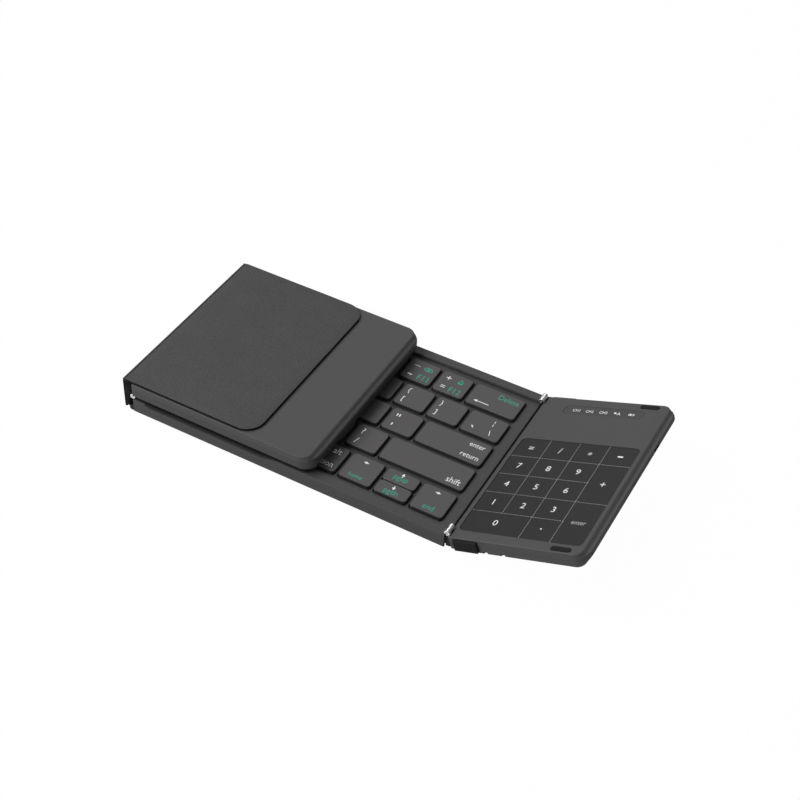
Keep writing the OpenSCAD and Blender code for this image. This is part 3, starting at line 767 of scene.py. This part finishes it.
SIGN_SIZES = {"_": 2.9, "-": 2.1, "+": 2.5, "=": 2.2, ":": 1.9, ";": 2.4, "\"": 1.8, "'": 1.7, ",": 1.2,
              ".": 0.7, "<": 2.3, ">": 2.3, "*": 1.9, "^": 2.1, "`": 1.5, "{": 3.7, "}": 3.7, "[": 3.6,
              "]": 3.6, "(": 3.4, ")": 3.4, "?": 3.5, "/": 3.4}


def sign(text, across, up):
    return ("text", text, across, up, SIGN_SIZES.get(text, 2.9), WHITE)


def pair(upper, lower, second="", mark=None, across=3.6):
    """Shifted sign above the plain one, with an optional function key beside them."""
    marks = [sign(upper, across, 10.1), sign(lower, across, 3.8)]
    if second:
        marks.append(("text", second, 10.0, 3.4, 5.6 if len(second) > 2 else 3.8, TEAL))
    if mark:
        marks.append((mark, "", 10.0, 10.1, 0, TEAL))
    return marks


def letters(text):
    """The marks of a run of caps with one letter each."""
    return [[sign(letter, 3.6, 9.9)] for letter in text]


def word(text, size, up=3.7, across=-2.4):
    """A word that ends near the cap's right edge."""
    return ("end", text, across, up, size, WHITE)


def left_word(text, size):
    return [("start", text, 2.2, 3.8, size, WHITE)]


LEGENDS = {
    "key_minus": [[sign("_", 4.4, 10.1), sign("-", 3.9, 3.3), ("eye", "", 10.1, 9.8, 0, TEAL),
                   ("text", "F11", 10.4, 3.5, 5.2, TEAL)]],
    "key_equals": [pair("+", "=", "F12", "lock", 3.9)],
    "key_delete": [[("arrow", 180, 6.85, 3.2, 7.5, WHITE), ("end", "Delete", -2.05, 10.6, 9.8, TEAL)]],
    "key_p": letters("P"),
    "key_bracket_left": [pair("{", "[", across=3.3)],
    "key_bracket_right": [pair("}", "]", across=3.0)],
    "key_backslash": [[sign("`", 4.45, 4.15), ("text", "¦", 12.25, 10.15, 3.7, WHITE),
                       ("text", "\\", 12.95, 4.05, 3.2, WHITE)]],
    "key_semicolon": [pair(":", ";")],
    "key_quote": [pair("\"", "'", across=3.9)],
    "key_enter": [[word("enter", 7.2, 10.7, -2.55), word("return", 8.4, 3.55)]],
    "key_slash": [pair("?", "/", across=4.0)],
    "key_shift_right": [[word("shift", 6.5, 3.75)]],
    "key_alt_right": [[word("alt", 3.9, 11.8, -2.7), word("option", 9.7, 3.0)]],
    "key_arrow_left": [[("arrow", 180, 7.55, 12.1, 2.4, WHITE), ("text", "home", 7.3, 3.1, 6.5, TEAL)]],
    "key_arrow_up": [[("arrow", 90, 7.55, 5.8, 2.4, WHITE), ("text", "pgup", 7.55, 3.0, 6.5, TEAL)]],
    "key_arrow_down": [[("arrow", 270, 7.55, 5.1, 2.4, WHITE), ("text", "pgdn", 7.55, 2.3, 6.5, TEAL)]],
    "key_arrow_right": [[("arrow", 0, 7.65, 12.3, 2.4, WHITE), ("text", "end", 7.75, 3.2, 4.9, TEAL)]],
    "keys_digits_6_to_0": [pair(*signs) for signs in
                           (("^", "6", "F6"), ("&", "7", "F7"), ("*", "8", "F8"), ("(", "9", "F9"),
                            (")", "0", "F10"))],
    "keys_y_to_o": letters("YUIO"),
    "keys_h_to_l": letters("HJKL"),
    "keys_b_to_dot": letters("BNM") + [pair("<", ","), pair(">", ".")],
    "keys_space_and_command": [[], [word("command", 11.2)]],
    "keys_left_row_1": [left_word("esc", 4.6)] + [pair(*signs) for signs in
                                                  (("!", "1", "F1"), ("@", "2", "F2"), ("#", "3", "F3"),
                                                   ("$", "4", "F4"), ("%", "5", "F5"))],
    "keys_left_row_2": [left_word("tab", 4.2)] + letters("QWERT"),
    "keys_left_row_3": [left_word("caps", 6.2)] + letters("ASDFG"),
    "keys_left_row_4": [left_word("shift", 6.5)] + letters("ZXCV"),
    "keys_left_row_5": [left_word("fn", 2.9), left_word("control", 8.6), [word("option", 8.6, across=-1.5)],
                        [word("command", 9.2, across=-1.2)], []],
}
MARKS = {"eye": eye_mark, "lock": lock_mark}


def print_legend(bm, low, high, marks):
    """Prints the marks of one cap on its top."""
    sides = {"start": -1, "text": 0, "end": 1}
    for kind, text, across, up, size, material in marks:
        left = high.x if across < 0 else low.x
        place = Vector((left + across * MM, low.y + up * MM, high.z))
        if kind == "arrow":
            arrow(bm, place, size, text, material)
        elif kind in MARKS:
            MARKS[kind](bm, place, material)
        else:
            lettering(bm, text, size, place, material, sides[kind])


def cap(bm, low, high, sizes):
    """One hollow key cap with a soft top edge and a plunger below its middle."""
    size = (high.x - low.x, high.y - low.y)
    middle = ((low.x + high.x) / 2, (low.y + high.y) / 2)
    part = bmesh.new()
    corner = min(sizes.cap_corner, 0.22 * min(size))
    face = rounded_face(part, low.x, high.x, low.y, high.y, low.z, corner, corner, 6)
    lean = 0.1 * MM
    levels = [(high.z - sizes.cap_edge - 0.25 * MM, 2 * lean)]
    levels += [(high.z - drop, 2 * (inset + 1.4 * lean)) for drop, inset in soft_edge(sizes.cap_edge, 4)]
    levels.append((high.z, levels[-1][1] + 0.3 * MM))
    loft(part, face, middle, size, levels)
    bottom = min(part.faces, key=lambda item: item.calc_center_median().z)
    face_outwards(part)
    bmesh.ops.inset_region(part, faces=[bottom], thickness=sizes.cap_wall, use_even_offset=True)
    ceiling = high.z - sizes.cap_wall
    bmesh.ops.translate(part, vec=(0, 0, ceiling - low.z), verts=drawn_out(part, bottom).verts)
    plunger = Matrix.Translation((*middle, ceiling - 0.2 * MM))
    bmesh.ops.create_cone(part, cap_ends=True, segments=20, radius1=1.5 * MM, radius2=1.6 * MM,
                          depth=0.5 * MM, matrix=plunger)
    face_outwards(part)
    for side in part.faces:
        # Steep sides take the darker painted shade
        side.material_index = CAP_WALL_SHADE if side.normal.z < 0.6 else 0
    pour(bm, part)


# Cover

def board(near, far, half, low, high, near_corner, far_corner, wave=0.0, pitch=5 * MM):
    """A leather board with soft edges; a wave makes its upper face uneven."""
    bm = bmesh.new()
    face = rounded_face(bm, near, far, -half, half, low, near_corner, far_corner, 10)
    size = (far - near, 2 * half)
    middle = ((near + far) / 2, 0)
    rounds = soft_edge(settings().board_edge, 3)
    start = 2 * rounds[-1][1]
    base = (size[0] - start, size[1] - start)
    bmesh.ops.scale(bm, vec=(base[0] / size[0], base[1] / size[1], 1),
                    space=Matrix.Translation((-middle[0], 0, 0)), verts=bm.verts)
    levels = [(low + drop, 2 * inset - start) for drop, inset in rounds[-2::-1]]
    levels += [(high - drop, 2 * inset - start) for drop, inset in rounds]
    loft(bm, face, middle, base, levels)
    face_outwards(bm)
    for side in bm.faces:
        side.material_index = int(abs(side.normal.z) < 0.75)
    for axis, start, end in ((0, near, far), (1, -half, half)):
        count = int((end - start) / pitch)
        for step in range(1, count + 1):
            point, direction = Vector((0, 0, 0)), Vector((0, 0, 0))
            point[axis] = start + (end - start) * step / (count + 1)
            direction[axis] = 1
            bmesh.ops.bisect_plane(bm, geom=[*bm.verts, *bm.edges, *bm.faces], plane_co=point,
                                   plane_no=direction)
    for vert in bm.verts:
        if wave and vert.co.z > (low + high) / 2:
            vert.co.z -= wave * (0.5 + 0.5 * noise.noise(vert.co * 60))
    return bm


def crease_strip(name, fold, first, last, half):
    """The leather that bends round a fold, blended between its two boards."""
    outer = 1.19 * MM
    inner = 0.35 * MM
    bm = bmesh.new()
    direction = Vector((cos(first), 0, sin(first)))
    corners = [fold + direction * reach + Vector((0, side, 0)) for reach, side in
               ((inner, -half), (outer, -half), (outer, half), (inner, half))]
    face = bm.faces.new([bm.verts.new(corner) for corner in corners])
    steps = 10
    for _ in range(steps):
        face = drawn_out(bm, face)
        turn = Matrix.Rotation((first - last) / steps, 3, "Y")
        bmesh.ops.rotate(bm, cent=fold, matrix=turn, verts=face.verts)
    face_outwards(bm)
    made = piece(name, bm, FOLDS["centre"], None, ["pebbled_leather"])
    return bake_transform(made)


# Stage

def direct_view(finish):
    """1 for what the camera sees directly or through glass."""
    seen, through = (finish.node("ShaderNodeLightPath", {}, {}, name) for name in
                     ("Is Camera Ray", "Is Transmission Ray"))
    return seen.either(through)


def room(strength):
    """Plain white to the camera and a weaker light to everything else."""
    world = bpy.data.worlds.new("room")
    bpy.context.scene.world = world
    finish = Finish(world)
    lit, plain = (finish.node("ShaderNodeBackground", {}, {"Color": (1, 1, 1, 1), "Strength": level})
                  for level in (strength, 1.0))
    both = finish.node("ShaderNodeMixShader", {}, {0: direct_view(finish), 1: lit, 2: plain})
    finish.node_out(both, "ShaderNodeOutputWorld")


def floor():
    """Pale paper that glows to the camera, so that only a trace of the shadow shows on it."""
    finish = Finish(bpy.data.materials.new("floor_paper"))
    paper = finish.node("ShaderNodeBsdfDiffuse", {}, {"Color": (0.86, 0.86, 0.86, 1)})
    glow = finish.node("ShaderNodeEmission", {}, {"Color": (1, 1, 1, 1), "Strength": 1.0})
    share = direct_view(finish) * 0.985
    finish.node_out(finish.node("ShaderNodeMixShader", {}, {0: share, 1: paper, 2: glow}))
    bm = bmesh.new()
    level = Matrix.Translation((0, 0, CAD_BOX[0].z - 0.05 * MM))
    bmesh.ops.create_grid(bm, x_segments=1, y_segments=1, size=4, matrix=level)
    made = meshed("floor", bm)
    made.data.materials.append(bpy.data.materials["floor_paper"])


def lamp(name, place, target, size, power):
    """A square lamp that looks at its target."""
    data = bpy.data.lights.new(name, "AREA")
    data.size = size
    data.energy = power
    made = linked(name, data)
    made.location = place
    made.rotation_euler = (target - place).to_track_quat("-Z", "Y").to_euler()


def camera(stage):
    """Looks at a point of the centre panel from the front right, slightly rolled."""
    target = Vector((19.88, 18.68, 1.3)) * MM
    back = Vector((sin(stage.azimuth) * cos(stage.elevation), -cos(stage.azimuth) * cos(stage.elevation),
                   sin(stage.elevation)))
    right = Vector((0, 0, 1)).cross(back).normalized()
    up = back.cross(right)
    turn, tilt = cos(stage.roll), sin(stage.roll)
    axes = Matrix((turn * right + tilt * up, turn * up - tilt * right, back))
    data = bpy.data.cameras.new("camera")
    data.sensor_width = 36
    data.lens = stage.lens
    made = linked("camera", data)
    made.matrix_world = Matrix.Translation(target + back * stage.distance) @ axes.transposed().to_4x4()
    bpy.context.scene.camera = made


# Number pad: four columns and five rows of cells, counted from the back left

COLUMNS, ROWS = 4, 5
ROW_DEPTH = 12.25 * MM
PAD_SIGN_SIZES = {"=": 2.4, "*": 2.1, "-": 2.4, "/": 3.3}


def cell(low, high, column, row):
    """Middle of a cell."""
    return Vector((low.x + (high.x - low.x) * (column + 0.5) / COLUMNS,
                   high.y - ROW_DEPTH * (row + 0.5), high.z))


def pad_lines(bm, low, high):
    """Dotted lines between the cells; zero is two cells wide, plus and enter are two deep."""
    margin = 0.6 * MM
    edges = []
    for column in range(1, COLUMNS):
        x = low.x + (high.x - low.x) * column / COLUMNS
        end = cell(low, high, 0, 3.5).y if column == 1 else low.y + margin
        edges.append((Vector((x, high.y - margin, high.z)), Vector((x, end, high.z)), 0.27, 0.55))
    for row in range(1, ROWS):
        y = high.y - ROW_DEPTH * row
        end = cell(low, high, 2.5, 0).x if row in (2, 4) else high.x - margin
        edges.append((Vector((low.x + margin, y, high.z)), Vector((end, y, high.z)), 0.55, 0.27))
    for start, end, width, depth in edges:
        count = int((end - start).length / (1.2 * MM))
        for step in range(count + 1):
            ink_bar(bm, start.lerp(end, step / count), width, depth, FAINT)


def pad_signs(bm, low, high):
    """Digits and signs in their cells."""
    marks = [(text, PAD_SIGN_SIZES.get(text, 3.25), column, row, WHITE)
             for row, line in enumerate(("=/*-", "789", "456", "123")) for column, text in enumerate(line)]
    marks += [("+", 2.5, 3, 1.5, WHITE), ("0", 3.25, 0.5, 4, WHITE), (".", 0.8, 2, 4, WHITE),
              ("enter", 6.3, 3, 3.5, FAINT)]
    for text, size, column, row, material in marks:
        lettering(bm, text, size, cell(low, high, column, row), material)


# Operators

class KEYBOARD_OT_stage(bpy.types.Operator):
    """Pale floor, plain room light, two soft lamps and the camera."""

    bl_idname = "keyboard.stage"
    bl_label = "Floor, lamps and camera"

    def execute(self, context):
        stage = context.scene.keyboard_stage
        context.scene.view_settings.view_transform = "Standard"
        room(stage.room_light)
        floor()
        middle = (CAD_BOX[0] + CAD_BOX[1]) / 2
        lamp("key_lamp", middle + Vector((-0.75, -0.38, 1.0)), middle, 0.9, stage.key_power)
        lamp("fill_lamp", middle + Vector((-0.3, 0.9, 0.9)), middle, 0.8, stage.fill_power)
        camera(stage)
        return {"FINISHED"}


class KEYBOARD_OT_panels(bpy.types.Operator):
    """Shells and frames of the three panels, and the right one's rubber bumpers and charging socket."""

    bl_idname = "keyboard.panels"
    bl_label = "Panels"

    def execute(self, context):
        low, high = flat_boxes("left_back_shell", FOLDS["left_panel"])[0]
        left = (high.x, low.x, LEFT_NOSE, LEFT_CORNER, False)
        low, high = flat_boxes("right_top_shell", FOLDS["right_panel"])[0]
        right = (low.x, high.x, RIGHT_NOSE, RIGHT_CORNER, True)
        for node, body, material, outer in (
                ("centre_bottom_shell", "centre", "key_panel_plastic", None),
                ("centre_top_frame", "centre", "key_panel_plastic", None),
                ("left_back_shell", "left_panel", "folded_panel_plastic", left),
                ("left_top_frame", "left_panel", "key_panel_plastic", None),
                ("right_bottom_shell", "right_panel", "raised_panel_plastic", right),
                ("right_top_shell", "right_panel", "raised_panel_plastic", right)):
            form = panel_form(*outer) if outer else None
            eased_node(node, body, material, settings().eased_edge, form)
        for node, width in (("side_bumpers", 0.25 * MM), ("rim_bumpers", 0.12 * MM)):
            eased_node(node, "right_panel", "dusty_rubber", width)
        eased_node("charge_socket", "right_panel", "drawn_steel", 0.06 * MM)
        return {"FINISHED"}


class KEYBOARD_OT_touch_surface(bpy.types.Operator):
    """Touch plate with its printed number pad, and the status window with its marks."""

    bl_idname = "keyboard.touch_surface"
    bl_label = "Touch surface and status window"

    def execute(self, context):
        fold = FOLDS["right_panel"]
        eased_node("touchpad_plate", "right_panel", "touch_glass", 0.1 * MM)
        eased_node("status_window", "right_panel", "smoked_film", 0.1 * MM)
        low, high = flat_boxes("touchpad_plate", fold)[0]
        bm = bmesh.new()
        pad_lines(bm, low, high)
        pad_signs(bm, low, high)
        prints = ["touch_glass", "white_print", "faint_print"]
        piece("number_pad_print", bm, fold, "right_panel", prints)
        low, high = flat_boxes("status_window", fold)[0]
        bm = bmesh.new()
        row = (low.y + high.y) / 2
        for across, text, width in ((6.1, "CH1", 3.5), (12.5, "CH2", 3.7), (19.0, "CH3", 3.7),
                                    (26.3, "A", 1.9)):
            lettering(bm, text, width, (low.x + across * MM, row, high.z), WHITE)
        ink_disc(bm, Vector((low.x + 24.5 * MM, row + 0.3 * MM, high.z)), 0.6, WHITE)
        battery_mark(bm, Vector((low.x + 32.1 * MM, row, high.z)), WHITE)
        piece("status_marks", bm, fold, "right_panel", ["smoked_film", "white_print"])
        return {"FINISHED"}


class KEYBOARD_OT_keys(bpy.types.Operator):
    """Every key cap, hollow and soft-edged, with its printed legend."""

    bl_idname = "keyboard.keys"
    bl_label = "Key caps and legends"

    def execute(self, context):
        sizes = settings()
        for node in CENTRE_KEYS:
            fold = FOLDS["left_panel" if "left_row" in node else "centre"]
            bm = bmesh.new()
            boxes = flat_boxes(node, fold)
            if len(boxes) != len(LEGENDS[node]):
                raise RuntimeError(f"{node} has {len(boxes)} caps and {len(LEGENDS[node])} legends")
            for (low, high), marks in zip(boxes, LEGENDS[node]):
                cap(bm, low, high, sizes)
                print_legend(bm, low, high, marks)
            short = node.replace("keys_", "").replace("key_", "")
            piece("caps_" + short, bm, fold, node + "_cap",
                  ["cap_plastic", "white_print", "teal_print", "cap_wall_plastic"], [node])
        return {"FINISHED"}


class KEYBOARD_OT_hinges(bpy.types.Operator):
    """Bright barrels, leaves and pins of the four hinges."""

    bl_idname = "keyboard.hinges"
    bl_label = "Hinges"

    def execute(self, context):
        for side in ("left", "right"):
            for part, body in (("centre", "centre"), ("panel", f"{side}_panel")):
                node = f"{side}_hinge_{part}_knuckles"
                eased_node(node, body, "polished_chrome", 0.1 * MM)
            eased_node(f"{side}_hinge_pins", "centre", "ground_steel", 0.08 * MM)
        return {"FINISHED"}


class KEYBOARD_OT_cover(bpy.types.Operator):
    """The leather cover: base, spine, flap and the two creases between them."""

    bl_idname = "keyboard.cover"
    bl_label = "Cover"

    def execute(self, context):
        look = ["pebbled_leather", "painted_edge"]
        low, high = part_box("cover_base")
        bm = board(low.x, high.x, high.y, low.z, high.z, 2 * MM, 0.8 * MM, pitch=12 * MM)
        piece("cover_base_leather", bm, FOLDS["centre"], "centre", look, ["cover_base"])
        low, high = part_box("cover_flap")
        bm = board(low.x, high.x, high.y, low.z, high.z, 0.8 * MM, 9 * MM, settings().board_wave)
        piece("cover_flap_leather", bm, FOLDS["centre"], "flap", look, ["cover_flap"])
        low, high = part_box("cover_spine")
        bm = board(low.z, high.z, high.y, 0, high.x - low.x, 0.2 * MM, 0.2 * MM)
        upright = Matrix.Translation((high.x, 0, 0)) @ Matrix.Rotation(-pi / 2, 4, "Y")
        piece("cover_spine_leather", bm, upright, "spine", look, ["cover_spine"])
        half = high.y - 0.2 * MM
        crease_strip("low_crease", LOW_FOLD, 1.5 * pi, pi,
                     half - 1.6 * MM)
        crease_strip("high_crease", HIGH_FOLD, pi, 0.5 * pi,
                     half)
        return {"FINISHED"}


INNER_FINISHES = {
    "sheet_steel": ("centre_key_plate", "left_key_plate", "flap_steel_discs"),
    "cloudy_silicone": ("centre_domes", "left_domes"),
    "solder_mask": ("centre_circuit_board", "main_board", "touch_sensor_board"),
    "zinc_steel": ("centre_screws", "left_screws", "right_screws"),
    "nickel_plating": ("left_magnets",),
    "crumpled_foil": ("battery",),
}


class KEYBOARD_OT_inner_parts(bpy.types.Operator):
    """Finishes for the parts inside, which keep the shapes they have in the frame."""

    bl_idname = "keyboard.inner_parts"
    bl_label = "Inner parts"

    def execute(self, context):
        for material, nodes in INNER_FINISHES.items():
            for node in nodes:
                mesh = frame["nodes"][node].data
                mesh.materials.clear()
                mesh.materials.append(finishes()[material])
        return {"FINISHED"}


OPERATORS = (KEYBOARD_OT_stage, KEYBOARD_OT_panels, KEYBOARD_OT_touch_surface, KEYBOARD_OT_keys,
             KEYBOARD_OT_hinges, KEYBOARD_OT_cover, KEYBOARD_OT_inner_parts)


GROUPS = {"keyboard_sizes": KeyboardSizes, "keyboard_colours": KeyboardColours,
          "keyboard_stage": StageSettings}


class KEYBOARD_PT_sidebar(bpy.types.Panel):
    """Lists the keyboard's sizes and the steps that build it."""

    bl_label = "Folding keyboard"
    bl_idname = "KEYBOARD_PT_sidebar"
    bl_space_type = "VIEW_3D"
    bl_region_type = "UI"
    bl_category = "Keyboard"

    def draw(self, context):
        column = self.layout.column()
        for group in (getattr(context.scene, name) for name in GROUPS):
            for name in group.bl_rna.properties.keys():
                if name not in ("rna_type", "name"):
                    column.prop(group, name)
        for operator in OPERATORS:
            column.operator(operator.bl_idname)


def register():
    for name, group in GROUPS.items():
        bpy.utils.register_class(group)
        setattr(bpy.types.Scene, name, PointerProperty(type=group))
    for item in (*OPERATORS, KEYBOARD_PT_sidebar):
        bpy.utils.register_class(item)


def unregister():
    for item in reversed((*OPERATORS, KEYBOARD_PT_sidebar)):
        bpy.utils.unregister_class(item)
    for name, group in GROUPS.items():
        delattr(bpy.types.Scene, name)
        bpy.utils.unregister_class(group)


def main():
    register()
    for operator in OPERATORS:
        step = getattr(bpy.ops.keyboard, operator.bl_idname.split(".")[1])
        step()


if __name__ == "__main__":
    main()
